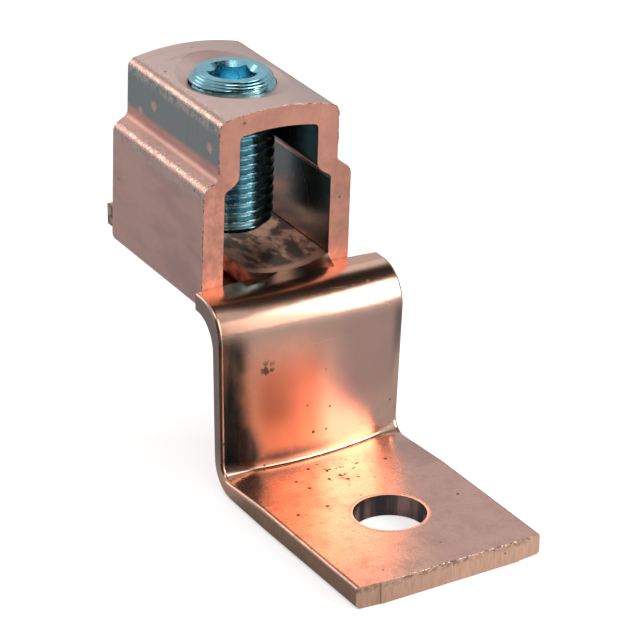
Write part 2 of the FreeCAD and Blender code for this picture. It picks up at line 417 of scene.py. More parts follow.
def most(first, *others):
    for other in others:
        first = math_node("MAXIMUM", first, other)
    return first


def unsigned(value):
    return math_node("ABSOLUTE", value)


def length_of(first, second):
    """Distance from an axis, for the two shares of a place across it."""
    return math_node("SQRT", plus(times(first, first), times(second, second)))


def rise(value, limits, at_low=0.0, at_high=1.0, kind="SMOOTHSTEP"):
    """Step from at_low, up to the first limit, to at_high, from the second."""
    fed = {"Value": value, "From Min": limits[0], "From Max": limits[1],
           "To Min": at_low, "To Max": at_high}
    return add(value.id_data, "ShaderNodeMapRange", fed, interpolation_type=kind).outputs["Result"]


def fall(value, limits):
    """Smooth step the other way: 1 up to the first limit, 0 from the second."""
    return rise(value, limits, at_low=1.0, at_high=0.0)


def flip(mask):
    return minus(1.0, mask)


def axes(vector):
    outputs = add(vector.id_data, "ShaderNodeSeparateXYZ", {0: vector}).outputs
    return outputs["X"], outputs["Y"], outputs["Z"]


def vector_node(operation, vector, other, output=0):
    fed = {0: vector, 1: other}
    return add(vector.id_data, "ShaderNodeVectorMath", fed, operation=operation).outputs[output]


def stretch(vector, factors):
    return vector_node("MULTIPLY", vector, factors)


def distance_to(vector, point):
    return vector_node("DISTANCE", vector, point, output="Value")


def noise(vector, scale=1.0, detail=4.0, roughness=0.55):
    fed = {"Vector": vector, "Scale": scale, "Detail": detail, "Roughness": roughness}
    return add(vector.id_data, "ShaderNodeTexNoise", fed).outputs["Fac"]


def rgba(colour, share=1.0):
    return (colour[0] * share, colour[1] * share, colour[2] * share, 1.0)


def mix_colour(factor, first, second):
    fed = {0: factor, 6: first, 7: second}
    return add(factor.id_data, "ShaderNodeMix", fed, data_type="RGBA").outputs[2]


def paint(under, mask, colour, share=1.0):
    """Colour laid over the one under it, where the mask is 1, as strongly as the share says."""
    if share != 1.0:
        mask = times(mask, share)
    return mix_colour(mask, under, colour)


def layer(mask, value, under):
    """Number value where mask is 1, the one under it elsewhere."""
    return add(mask.id_data, "ShaderNodeMix", {0: mask, 2: under, 3: value}, data_type="FLOAT").outputs[0]


def new_material(name):
    material = bpy.data.materials.new(name)
    material.use_nodes = True
    tree = material.node_tree
    tree.nodes.clear()
    shader = add(tree, "ShaderNodeBsdfPrincipled")
    add(tree, "ShaderNodeOutputMaterial", {"Surface": shader.outputs[0]})
    place = add(tree, "ShaderNodeTexCoord").outputs["Object"]
    return material, shader.inputs, place


def add_bump(target, height, strength, distance):
    fed = {"Height": height, "Strength": strength, "Distance": distance}
    feed(add(height.id_data, "ShaderNodeBump", fed).outputs["Normal"], target["Normal"])


# Effects that more than one finish uses

def group_tree(name, inputs, outputs):
    """New shader node group with its named sockets, its start and its end."""
    tree = bpy.data.node_groups.new(name, "ShaderNodeTree")
    socket(tree, "Vector", "NodeSocketVector")
    for label, value in inputs:
        socket(tree, label, "NodeSocketFloat", default=value)
    for label in outputs:
        socket(tree, label, "NodeSocketFloat", output=True)
    return tree, add(tree, "NodeGroupInput").outputs, add(tree, "NodeGroupOutput").inputs


def use_group(name, vector, **values):
    """The named effect placed in a material with its own values; it is built the first time."""
    group = bpy.data.node_groups.get(name) or EFFECTS[name](name)
    node = add(vector.id_data, "ShaderNodeGroup", node_tree=group)
    feed(vector, node.inputs["Vector"])
    for label, value in values.items():
        feed(value, node.inputs[label.replace("_", " ")])
    return node.outputs


def grain_group(name):
    """Fine grain of worked metal: a fine mask, a broad mask and a height."""
    tree, start, end = group_tree(name, (("Fine Scale", 2200.0), ("Broad Scale", 180.0)),
                                  ("Fine", "Broad", "Height"))
    fine = noise(start["Vector"], start["Fine Scale"], detail=3.0, roughness=0.5)
    broad = noise(start["Vector"], start["Broad Scale"], detail=5.0, roughness=0.6)
    feed(fine, end["Fine"])
    feed(broad, end["Broad"])
    feed(plus(times(fine, 0.5), broad), end["Height"])
    return tree


def scratch_lines(start, turn, width):
    """Long thin lines, turned by the angle turn, where a stretched noise crosses its middle."""
    fed = {"Vector": start["Vector"], "Rotation": (turn, turn / 2, turn), "Scale": (1.0, 0.12, 0.4)}
    place = add(start["Vector"].id_data, "ShaderNodeMapping", fed)
    wave = noise(place.outputs[0], start["Scratch Scale"], detail=1.0, roughness=0.5)
    return fall(unsigned(minus(wave, 0.5)), limits=(width, 2.2 * width))


def wear_group(name):
    """Scattered pits and hair scratches."""
    tree, start, end = group_tree(name, (("Pit Scale", 420.0), ("Pit Size", 0.1), ("Scratch Scale", 75.0)),
                                  ("Pits", "Scratches"))
    cells = add(tree, "ShaderNodeTexVoronoi", {"Vector": start["Vector"], "Scale": start["Pit Scale"]})
    chance = add(tree, "ShaderNodeSeparateColor", {0: cells.outputs["Color"]})
    size = times(rise(chance.outputs[0], limits=(0.2, 0.8)), start["Pit Size"])
    depth = minus(size, cells.outputs["Distance"])
    feed(rise(depth, limits=(0.0, 0.03)), end["Pits"])
    lines = most(scratch_lines(start, turn=0.6, width=0.0022),
                 scratch_lines(start, turn=2.1, width=0.0016))
    spread = noise(start["Vector"], scale=160.0, detail=2.0)
    feed(times(lines, rise(spread, limits=(0.5, 0.62))), end["Scratches"])
    return tree


def edge_group(name):
    """Granular wear along a pair of lengthwise corners that lie at plus and minus Corner Y."""
    tree, start, end = group_tree(name, (("Corner Y", 0.008), ("Corner Z", 0.02), ("Reach", 0.001)),
                                  ("Mask",))
    _, y, z = axes(start["Vector"])
    away = length_of(minus(unsigned(y), start["Corner Y"]), minus(z, start["Corner Z"]))
    near = fall(over(away, start["Reach"]), limits=(0.45, 1.0))
    grains = noise(start["Vector"], scale=2600.0, detail=2.0, roughness=0.6)
    clumps = noise(start["Vector"], scale=700.0, detail=2.0, roughness=0.6)
    speck = rise(plus(grains, times(clumps, 0.6)), limits=(0.72, 0.9))
    feed(times(near, speck), end["Mask"])
    return tree


EFFECTS = {"Metal grain": grain_group, "Handling marks": wear_group, "Line wear": edge_group}


# Pieces made by geometry nodes

def cover(mesh, material):
    """Give the mesh this one material."""
    mesh.materials.clear()
    mesh.materials.append(material)


def nodes_tree(name, sizes, counts):
    """New geometry node tree with its named inputs, its start and its end."""
    tree = bpy.data.node_groups.new(name, "GeometryNodeTree")
    socket(tree, "Geometry", "NodeSocketGeometry")
    socket(tree, "Geometry", "NodeSocketGeometry", output=True)
    for label, value in sizes.items():
        socket(tree, label, "NodeSocketFloat", default=value)
    for label, value in counts.items():
        socket(tree, label, "NodeSocketInt", default=value)
    return tree, add(tree, "NodeGroupInput").outputs, add(tree, "NodeGroupOutput").inputs


def close_tree(tree, geometry, material, end):
    """Real mesh in one material, as the tree's result."""
    real = add(tree, "GeometryNodeRealizeInstances", {"Geometry": geometry}).outputs["Geometry"]
    finish = add(tree, "GeometryNodeSetMaterial", {"Geometry": real, "Material": material})
    feed(finish.outputs["Geometry"], end["Geometry"])
    return tree


def baked_from_nodes(name, tree, values, path=()):
    """Plain mesh that the tree makes of a path of points, with its named inputs set."""
    source = bpy.data.meshes.new(name + "_holder")
    source.from_pydata([tuple(point) for point in path], [(i, i + 1) for i in range(len(path) - 1)], [])
    holder = bpy.data.objects.new(name + "_holder", source)
    bpy.context.scene.collection.objects.link(holder)
    modifier = holder.modifiers.new("Nodes", "NODES")
    modifier.node_group = tree
    for item in tree.interface.items_tree:
        if item.item_type == "SOCKET" and item.in_out == "INPUT" and item.name in values:
            modifier[item.identifier] = values[item.name]
    bpy.context.view_layer.update()
    evaluated = holder.evaluated_get(bpy.context.evaluated_depsgraph_get())
    mesh = bpy.data.meshes.new_from_object(evaluated)
    bpy.data.objects.remove(holder)
    mesh.name = name
    if not mesh.polygons:
        raise RuntimeError(name + " came out empty")
    return mesh


# Strap

def strap_faces(place):
    """Masks of the strap's faces, by name."""
    x, y, z = axes(place)
    turned = times(most(minus(x, BEND_START), 0.0), PAD_TURN)
    aside = unsigned(minus(plus(y, PAD_SHIFT), turned))
    from_hole = length_of(x, y)
    below_top = fall(z, PAD_TOP)
    above_top = rise(z, PAD_TOP)
    hole_wall = times(fall(from_hole, HOLE_WALL), below_top)
    side = rise(aside, SIDE_FACE)
    return {
        "pad": times(fall(z, PAD_CEILING), rise(x, PAD_BACK)),
        "side": side,
        "standing side": times(side, rise(z, SIDE_FOOT), rise(x, SIDE_BACK)),
        "end": times(below_top, rise(plus(x, times(y, END_TURN)), END_FACE)),
        "hole wall": hole_wall,
        "hole rim": times(fall(from_hole, HOLE_RIM), flip(hole_wall), above_top),
        "rolled in": times(fall(from_hole, HOLE_ROLLED_IN), above_top),
        "riser": times(rise(z, RISER_FOOT), fall(z, RISER_HEAD), fall(x, RISER_FRONT), rise(x, RISER_BACK)),
        "standing": times(rise(z, STANDING_FOOT), fall(z, STANDING_HEAD), rise(x, STANDING_BACK)),
        "tongue": times(fall(x, TONGUE_FRONT), rise(z, TONGUE_TOP)),
    }


def riser_dark_reflection_and_shade(place, face):
    """Mask of the painted dark reflection along the riser's left and right edges and of the painted shade
    over its crease.
    """
    _, y, z = axes(place)
    cloud = noise(place, scale=260.0, roughness=0.6)
    low = fall(z, DARK_SPREAD)
    ragged = minus(y, times(plus(cloud, low), DARK_RAGGED))
    left = fall(ragged, DARK_LEFT)
    right = times(rise(y, DARK_RIGHT), DARK_RIGHT_SHARE)
    crease = times(fall(z, CREASE_HEAD), fall(y, CREASE_RIGHT))
    streaks = noise(stretch(place, (300.0, 700.0, 200.0)))
    return times(most(left, right, crease), face["riser"], flip(face["side"]),
                 rise(streaks, limits=(0.35, 0.75), at_low=1.0, at_high=0.72))


def strap_stains(place, face, pits):
    """Mask of the small dark stains: pits, a cluster of flecks on the riser and specks by the crease."""
    spot = fall(distance_to(place, FLECK_SPOT), FLECK_REACH)
    fleck = plus(noise(place, scale=1500.0, detail=2.0), times(spot, FLECK_LIFT))
    near_crease = fall(distance_to(place, SPECK_SPOT), SPECK_REACH)
    speck = plus(noise(place, scale=1100.0, detail=2.0), times(near_crease, SPECK_LIFT))
    return most(pits, times(spot, rise(fleck, limits=(0.66, 0.70))),
                times(near_crease, rise(speck, limits=(0.70, 0.74)), face["pad"]))


def strap_colour(place, look, face, grain, shear):
    """Colour of the strap before its small stains."""
    x, y, z = axes(place)
    tint = rise(grain["Broad"], BROAD_LIMITS)
    colour = mix_colour(tint, rgba(look.rolled), rgba(look.rolled, 0.9))
    mottle = rise(noise(place, scale=520.0, detail=5.0, roughness=0.62), limits=(0.46, 0.66))
    colour = paint(colour, times(mottle, face["pad"]), rgba(look.rolled, 0.68), share=0.75)
    # Painted reflection: a saturated orange patch on the riser's lower middle
    off_middle = unsigned(minus(y, ORANGE_REFLECTION_MIDDLE))
    orange_reflection = times(face["riser"], fall(off_middle, ORANGE_REFLECTION_REACH), fall(z, ORANGE_REFLECTION_HEAD))
    colour = paint(colour, orange_reflection, ORANGE_REFLECTION_RED, share=0.85)
    # Painted reflection: a darker pinkish tone over the riser's upper right and the pad's right side
    riser_right_reflection = times(face["riser"], rise(y, ROSE_LEFT), rise(z, ROSE_FOOT))
    pad_right_reflection = times(face["pad"], rise(plus(y, times(x, ROSE_SKEW)), ROSE_PAD))
    colour = paint(colour, most(riser_right_reflection, pad_right_reflection), ROSE_REFLECTION, share=0.65)
    # Painted dark reflection on the riser's facet and edges, and painted shade over its crease
    colour = paint(colour, riser_dark_reflection_and_shade(place, face), rgba(look.facet))
    stripes = noise(stretch(place, (420.0, 420.0, 40.0)), detail=3.0)
    stripes = rise(stripes, limits=(0.38, 0.56), at_low=0.25)
    colour = paint(colour, times(face["hole wall"], stripes), HOLE_BROWN)
    # Painted shade: dark blotches over the tongue inside the collar, standing in for its shade and dark
    # reflections
    shade_blotches = noise(stretch(place, (230.0, 420.0, 300.0)), roughness=0.6)
    shade_blotches = rise(shade_blotches, limits=(0.40, 0.56))
    colour = paint(colour, times(face["tongue"], shade_blotches), TONGUE_SHADE_BLACK, share=0.92)
    sheared = mix_colour(rise(shear, limits=(0.3, 0.7)), rgba(look.sheared), rgba(look.sheared, 0.78))
    colour = paint(colour, face["matt"], sheared)
    torn = rise(noise(place, scale=1300.0, detail=3.0, roughness=0.6), limits=(0.46, 0.58))
    torn_edge = times(face["end"], rise(z, TORN_FOOT), torn)
    colour = paint(colour, torn_edge, TORN_BROWN, share=0.75)
    colour = paint(colour, face["standing side"], SIDE_SHADE, share=0.65)
    return paint(colour, face["hole rim"], RIM_GLINT, share=0.8)


def rolled_copper(look):
    """Strap: polished where it is bent, satin on the pad, sheared along its edges and its end."""
    material, shader, place = new_material("Rolled copper")
    grain = use_group("Metal grain", place, Fine_Scale=3000.0, Broad_Scale=240.0)
    wear = use_group("Handling marks", place, Pit_Scale=420.0, Pit_Size=0.12, Scratch_Scale=150.0)
    face = strap_faces(place)
    face["matt"] = most(face["end"], times(face["side"], SIDE_MATT))
    shear = noise(stretch(place, (2600.0, 2600.0, 500.0)), roughness=0.65)
    stain = strap_stains(place, face, wear["Pits"])
    colour = strap_colour(place, look, face, grain, shear)
    feed(paint(colour, stain, PIT_BROWN, share=0.85), shader["Base Color"])
    feed(flip(times(face["matt"], STRAP_MATT)), shader["Metallic"])
    satin = rise(grain["Fine"], FINE_LIMITS, at_low=look.satin * 0.9, at_high=look.satin * 1.1)
    rough = layer(face["standing"], look.satin, look.polish)
    rough = layer(face["pad"], satin, rough)
    for name, roughness in (("side", 0.34), ("end", 0.5), ("hole wall", 0.14)):
        rough = layer(face[name], roughness, rough)
    rough = plus(rough, times(wear["Scratches"], 0.07))
    feed(plus(rough, times(stain, 0.4)), shader["Roughness"])
    height = plus(times(grain["Height"], 0.5), times(face["end"], shear))
    height = minus(minus(height, stain), times(face["rolled in"], ROLLED_IN_DEPTH))
    add_bump(shader, height, strength=0.16, distance=0.00004)
    return material


class LUG_OT_strap(bpy.types.Operator):
    """Give the bent strap its rolled copper"""
    bl_idname = "lug.strap"
    bl_label = "Finish strap"

    def execute(self, context):
        cover(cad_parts["tang"].data, rolled_copper(context.scene.lug_copper))
        return {"FINISHED"}


# Collar

def upright(place):
    """Place in the collar's own coordinates: from its foot, with its lean taken out."""
    fed = {"Vector": place, "Location": COLLAR_FOOT, "Rotation": (-LEAN, 0.0, 0.0)}
    return add(place.id_data, "ShaderNodeMapping", fed, vector_type="TEXTURE").outputs[0]


def collar_faces(own):
    """Masks of the collar's faces, by name."""
    x, y, z = axes(own)
    beside = unsigned(y)
    sawn = rise(unsigned(x), SAWN_FACE)
    lower = times(fall(beside, LOWER_INSIDE), fall(z, LOWER_CEILING))
    upper = times(fall(beside, UPPER_INSIDE), fall(z, UPPER_CEILING))
    inside = times(most(lower, upper), rise(z, INSIDE_FLOOR), flip(sawn))
    outside = times(flip(sawn), flip(inside))
    crown_edge = use_group("Line wear", own, **CROWN_CORNER)["Mask"]
    step_edge = use_group("Line wear", own, **STEP_CORNER)["Mask"]
    return {
        "sawn": sawn,
        "inside": inside,
        "low inside": times(inside, fall(z, LOW_INSIDE)),
        "upper wall": times(rise(z, UPPER_WALL_FOOT), rise(beside, UPPER_WALL_REACH),
                            fall(z, UPPER_WALL_HEAD), outside),
        "hollow": times(rise(z, HOLLOW_FOOT), fall(z, HOLLOW_HEAD), outside),
        "crown": times(rise(z, CROWN_TOP), fall(beside, CROWN_REACH)),
        "rubbed": times(most(crown_edge, step_edge), outside),
    }


def pink_wall_spots(own):
    """Mask of the ragged pink spots where the upper walls' painted grey reflection is missing."""
    ragged = times(noise(own, scale=900.0, detail=2.0), PINK_RAGGED)
    return most(*[fall(plus(distance_to(own, spot), ragged), PINK_REACH) for spot in PINK_SPOTS])


def sawn_colour(own, look, saw):
    """Cut ends: blotched, with saw lines, darker to the right and towards the crown."""
    _, y, z = axes(own)
    blotch = noise(own, scale=420.0, detail=5.0, roughness=0.65)
    colour = mix_colour(rise(blotch, limits=(0.35, 0.65)), rgba(look.sawn), rgba(look.sawn, 0.68))
    to_right = rise(y, SAWN_RIGHT, at_high=0.5)
    lines = rise(saw, limits=(0.5, 0.75), at_high=0.5)
    to_crown = rise(z, SAWN_HEAD, at_high=0.6)
    for mask, share in ((to_right, 0.5), (lines, 0.66), (to_crown, 0.70)):
        colour = paint(colour, mask, rgba(look.sawn, share))
    return colour


def drawn_copper(look):
    """Collar: drawn outside with a painted grey reflection on its upper walls, sawn ends, painted shade
    inside and a painted red reflection low down.
    """
    material, shader, place = new_material("Drawn copper")
    own = upright(place)
    grain = use_group("Metal grain", own, Fine_Scale=2600.0, Broad_Scale=200.0)
    wear = use_group("Handling marks", own, Pit_Scale=380.0, Pit_Size=0.1, Scratch_Scale=140.0)
    face = collar_faces(own)
    clouds = noise(stretch(own, (90.0, 260.0, 260.0)), detail=5.0, roughness=0.6)
    clouds = rise(clouds, limits=(0.38, 0.7), at_high=0.6)
    colour = mix_colour(clouds, rgba(look.drawn), rgba(look.tarnish))
    colour = paint(colour, face["crown"], CROWN_PINK, share=0.8)
    # Painted reflection: grey over the upper walls, with ragged pink spots of drawn copper
    walls = mix_colour(pink_wall_spots(own), rgba(look.wall_reflection), rgba(look.drawn))
    colour = paint(colour, face["upper wall"], walls)
    saw = noise(stretch(own, (60.0, 1900.0, 240.0)), detail=3.0, roughness=0.6)
    colour = paint(colour, face["sawn"], sawn_colour(own, look, saw))
    # Painted shade inside the collar, with a painted red reflection low on its floor
    depths = mix_colour(face["low inside"], rgba(look.inner), rgba(look.inside_red_reflection))
    colour = paint(colour, face["inside"], depths)
    colour = paint(colour, face["rubbed"], rgba(look.rubbed), share=0.85)
    feed(paint(colour, wear["Pits"], COLLAR_PIT, share=0.7), shader["Base Color"])
    matt = most(face["sawn"], face["low inside"])
    feed(flip(times(matt, COLLAR_MATT)), shader["Metallic"])
    drawn = rise(grain["Fine"], FINE_LIMITS, at_low=0.30, at_high=0.42)
    sawn = rise(grain["Fine"], FINE_LIMITS, at_low=0.42, at_high=0.55)
    rough = layer(face["sawn"], sawn, drawn)
    for name, roughness in (("inside", 0.24), ("hollow", 0.5), ("rubbed", 0.24)):
        rough = layer(face[name], roughness, rough)
    feed(plus(rough, times(wear["Scratches"], 0.15)), shader["Roughness"])
    height = plus(grain["Height"], times(face["rubbed"], 0.7))
    height = minus(plus(height, times(face["sawn"], saw)), wear["Pits"])
    add_bump(shader, height, strength=0.28, distance=0.00006)
    return material


class LUG_OT_collar(bpy.types.Operator):
    """Give the collar its drawn and sawn copper"""
    bl_idname = "lug.collar"
    bl_label = "Finish collar"

    def execute(self, context):
        cover(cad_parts["collar"].data, drawn_copper(context.scene.lug_copper))
        return {"FINISHED"}


# Burrs

def rounded_path(corners):
    """Points of a line through (across, up, radius) corners, rounded where the radius isn't 0."""
    points = []
    for index, (across, up, radius) in enumerate(corners):
        corner = Vector((across, up))
        if radius == 0.0:
            points.append(corner)
            continue
        before = (Vector(corners[index - 1][:2]) - corner).normalized()
        after = (Vector(corners[index + 1][:2]) - corner).normalized()
        half = before.angle(after) / 2
        centre = corner + (before + after).normalized() * radius / math.sin(half)
        first = (corner + before * radius / math.tan(half) - centre).normalized()
        last = (corner + after * radius / math.tan(half) - centre).normalized()
        for step in range(ROUND_STEPS + 1):
            points.append(centre + first.slerp(last, step / ROUND_STEPS) * radius)
    return points


def collar_outline():
    """The collar's outer outline at its front end, from low on the left to the right step."""
    left = [(-LOWER_HALF, BURR_FOOT, 0.0), (-LOWER_HALF, SIDE_HEIGHT, SIDE_ROUND),
            (-UPPER_HALF, STEP_HEIGHT, STEP_ROUND), (-UPPER_HALF, SHOULDER_HEIGHT, SHOULDER_ROUND)]
    crown = [(UPPER_HALF * share, CROWN_HEIGHT - CROWN_DROP * share * share, 0.0) for share in CROWN_SHARES]
    right = [(UPPER_HALF, SHOULDER_HEIGHT, SHOULDER_ROUND), (UPPER_HALF, BURR_END, 0.0)]
    foot = Vector(COLLAR_FOOT)
    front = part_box("collar")[1][0]
    return [Vector((front, foot.y + across * math.cos(LEAN) + up * math.sin(LEAN),
                    foot.z - across * math.sin(LEAN) + up * math.cos(LEAN)))
            for across, up in rounded_path(left + crown + right)]


def pad_end_line():
    """The top edge of the pad's free end, between its rounded corners."""
    points = []
    for across in PAD_EDGE_POINTS:
        x = FREE_END - across * END_TURN
        points.append(Vector((x, across - PAD_SHIFT + (x - BEND_START) * PAD_TURN, PAD_TOP[1])))
    return points


def burr_tree(material):
    """Small slivers of metal scattered along the edges of the input mesh."""
    sizes = {"Length": BURR_LENGTH, "Thickness": BURR_THICKNESS}
    tree, start, end = nodes_tree("Burr specks", sizes, {"Count": PAD_BURRS, "Seed": BURR_SEED})
    path = add(tree, "GeometryNodeMeshToCurve", {"Mesh": start["Geometry"]})
    fed = {"Curve": path.outputs["Curve"], "Count": start["Count"]}
    points = add(tree, "GeometryNodeCurveToPoints", fed, mode="COUNT").outputs
    fed = {0: (-1.0, -1.0, -1.0), 1: (1.0, 1.0, 1.0), "Seed": start["Seed"]}
    jitter = add(tree, "FunctionNodeRandomValue", fed, data_type="FLOAT_VECTOR")
    fed = {0: jitter.outputs[0], "Scale": times(start["Thickness"], BURR_SCATTER)}
    reach = add(tree, "ShaderNodeVectorMath", fed, operation="SCALE")
    move = add(tree, "GeometryNodeSetPosition", {"Geometry": points["Points"], "Offset": reach.outputs[0]})
    speck = add(tree, "GeometryNodeMeshIcoSphere", {"Radius": 1.0, "Subdivisions": 1})
    fed = {2: SMALLEST_BURR, 3: 1.0, "Seed": plus(start["Seed"], 1)}
    share = add(tree, "FunctionNodeRandomValue", fed, data_type="FLOAT").outputs[1]
    thick = times(start["Thickness"], share)
    size = add(tree, "ShaderNodeCombineXYZ", {"X": thick, "Y": thick, "Z": times(start["Length"], share)})
    specks = add(tree, "GeometryNodeInstanceOnPoints", {
        "Points": move.outputs["Geometry"], "Instance": speck.outputs["Mesh"],
        "Rotation": points["Rotation"], "Scale": size.outputs[0]})
    return close_tree(tree, specks.outputs["Instances"], material, end)


def burr_copper(look):
    """Slivers, some bright and some tarnished black."""
    material, shader, place = new_material("Burred copper")
    shade = rise(noise(place, scale=1900.0, detail=1.0), limits=(0.42, 0.5))
    feed(mix_colour(shade, BURR_BLACK, rgba(look.rubbed)), shader["Base Color"])
    shader["Metallic"].default_value = 1.0
    shader["Roughness"].default_value = 0.3
    return material


def add_burr(context, name, path, count):
    """Burrs along the path, riding on the lug."""
    material = burr_copper(context.scene.lug_copper)
    values = {"Count": count, "Seed": BURR_SEED, "Length": BURR_LENGTH, "Thickness": BURR_THICKNESS}
    mesh = baked_from_nodes(name, burr_tree(material), values, path)
    burr = bpy.data.objects.new(name, mesh)
    context.scene.collection.objects.link(burr)
    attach(burr, "lug")


class LUG_OT_burrs(bpy.types.Operator):
    """Scatter burrs along the collar's sawn edge and the pad's sheared edge"""
    bl_idname = "lug.burrs"
    bl_label = "Make burrs"

    def execute(self, context):
        add_burr(context, "collar_burr", collar_outline(), COLLAR_BURRS)
        add_burr(context, "pad_burr", pad_end_line(), PAD_BURRS)
        return {"FINISHED"}


# Set screw

def zinc_plate(look):
    """Set screw: bright blue plating, with a painted lighter reflection in the socket and painted shade low
    on the shank.
    """
    material, shader, place = new_material("Zinc plate")
    grain = use_group("Metal grain", place, Fine_Scale=2600.0, Broad_Scale=420.0)
    wear = use_group("Handling marks", place, Pit_Scale=700.0, Pit_Size=0.1, Scratch_Scale=120.0)
    tint = rise(grain["Broad"], BROAD_LIMITS)
    colour = mix_colour(tint, rgba(look.zinc), rgba(look.zinc, 0.75))
    x, y, z = axes(upright(place))
    in_socket = fall(length_of(x, y), SOCKET_REACH)
    # Painted lighter reflection in the hexagon socket
    colour = paint(colour, in_socket, SOCKET_REFLECTION_BLUE)
    # Painted shade low on the shank, inside the collar
    shaded_shank = times(fall(z, SHANK_HEAD), flip(in_socket))
    colour = paint(colour, shaded_shank, SHANK_SHADE, share=0.3)
    feed(paint(colour, wear["Pits"], ZINC_PIT, share=0.7), shader["Base Color"])
    shader["Metallic"].default_value = 1.0
    rough = rise(grain["Fine"], FINE_LIMITS, at_low=0.13, at_high=0.24)
    feed(plus(rough, times(wear["Scratches"], 0.2)), shader["Roughness"])
    add_bump(shader, grain["Height"], strength=0.18, distance=0.00004)
    return material


def cone(away, start, part):
    """Radius that opens from the part's own to the shank's over the part's height."""
    own = start[part + " Radius"]
    share = over(away, start[part + " Height"])
    return plus(own, times(share, minus(start["Radius"], own)))


def thread_tree(material):
    """Threaded shank about +Z from a flat grid: X of the grid is the turn, Y the height."""
    sizes = {"Radius": 0.00555, "Depth": 0.0006, "Pitch": 0.00127, "Height": 0.02, "Runout": 0.00035,
             "Rim Radius": 0.00495, "Rim Height": 0.0005, "Groove Pitch": 0.00031, "Groove Depth": 0.00011,
             "Point Radius": 0.0044, "Point Height": 0.0011}
    tree, start, end = nodes_tree("Screw thread", sizes, {"Round Faces": 96, "Height Faces": 256})
    grid = add(tree, "GeometryNodeMeshGrid", {
        "Size X": 1.0, "Size Y": 1.0, "Vertices X": plus(start["Round Faces"], 1),
        "Vertices Y": plus(start["Height Faces"], 1)})
    across, along, _ = axes(add(tree, "GeometryNodeInputPosition").outputs[0])
    turn = plus(across, 0.5)
    height = times(plus(along, 0.5), start["Height"])
    below_top = minus(start["Height"], height)
    phase = minus(over(height, start["Pitch"]), turn)
    phase = math_node("FRACT", plus(phase, TURNS_AHEAD))
    wave = times(unsigned(minus(phase, 0.5)), 2.0)
    flank = rise(wave, FLANK_LIMITS, kind="LINEAR")
    fade_top = over(below_top, start["Runout"], clamp=True)
    fade_foot = over(height, start["Point Height"], clamp=True)
    depth = times(flank, start["Depth"], times(fade_top, fade_foot))
    ripple = math_node("SINE", times(over(below_top, start["Groove Pitch"]), 2 * math.pi))
    grooves = times(most(ripple, 0.0), start["Groove Depth"])
    rim = minus(cone(below_top, start, "Rim"), grooves)
    ends = math_node("MINIMUM", rim, cone(height, start, "Point"))
    radius = math_node("MINIMUM", minus(start["Radius"], depth), ends)
    angle = times(turn, 2 * math.pi)
    fed = {"X": times(radius, math_node("COSINE", angle)), "Y": times(radius, math_node("SINE", angle)),
           "Z": height}
    place = add(tree, "ShaderNodeCombineXYZ", fed).outputs[0]
    move = add(tree, "GeometryNodeSetPosition", {"Geometry": grid.outputs["Mesh"], "Position": place})
    fed = {"Geometry": move.outputs["Geometry"], "Distance": WELD_REACH}
    weld = add(tree, "GeometryNodeMergeByDistance", fed)
    return close_tree(tree, weld.outputs["Geometry"], material, end)


def hexagon_reach(angle, flats):
    """Distance from a hexagon's middle to its side in the direction of angle."""
    step = math.pi / 3
    turn = (angle + step / 2) % step - step / 2
    corner_turn = step / 2 - abs(turn)
    return flats / 2 / math.cos(corner_turn)


def screw_rings(look, height):
    """Rings that lead over the top face into the hexagon socket, and rings that close the shank's foot."""
    mouth = look.mouth / 2
    slope = look.mouth_depth / (mouth - look.key / 2)
    socket_floor = height - look.key_depth
    drill_tip = socket_floor - look.key / 2 / math.tan(DRILL_ANGLE)

    def circle(radius, level):
        return [(radius, level)] * ROUND_FACES

    reaches = [hexagon_reach(2 * math.pi * index / ROUND_FACES, look.key) for index in range(ROUND_FACES)]
    top = [circle(look.rim / 2, height), circle(look.rim / 2 - EDGE_BAND, height),
           circle(mouth + EDGE_BAND, height), circle(mouth, height),
           [(reach, height - (mouth - reach) * slope) for reach in reaches],
           [(reach, socket_floor) for reach in reaches],
           circle(look.key / 2 * DRILL_SHARE, socket_floor - DRILL_STEP),
           circle(DRILL_TIP_RADIUS, drill_tip)]
    foot = [circle(look.point / 2, 0.0), circle(look.point / 2 - POINT_BAND, 0.0), circle(POINT_CORE, 0.0)]
    return top, foot


def add_rings(shape, rings, turned_over):
    """Faces from each ring to the next, and one face over the last ring."""
    previous = None
    for ring in rings:
        row = []
        for index, (radius, level) in enumerate(ring):
            angle = 2 * math.pi * index / ROUND_FACES
            row.append(shape.verts.new((radius * math.cos(angle), radius * math.sin(angle), level)))
        if previous:
            for index in range(ROUND_FACES):
                after = (index + 1) % ROUND_FACES
                corners = [previous[index], previous[after], row[after], row[index]]
                shape.faces.new(corners[::-1] if turned_over else corners)
        previous = row
    shape.faces.new(previous[::-1] if turned_over else previous)


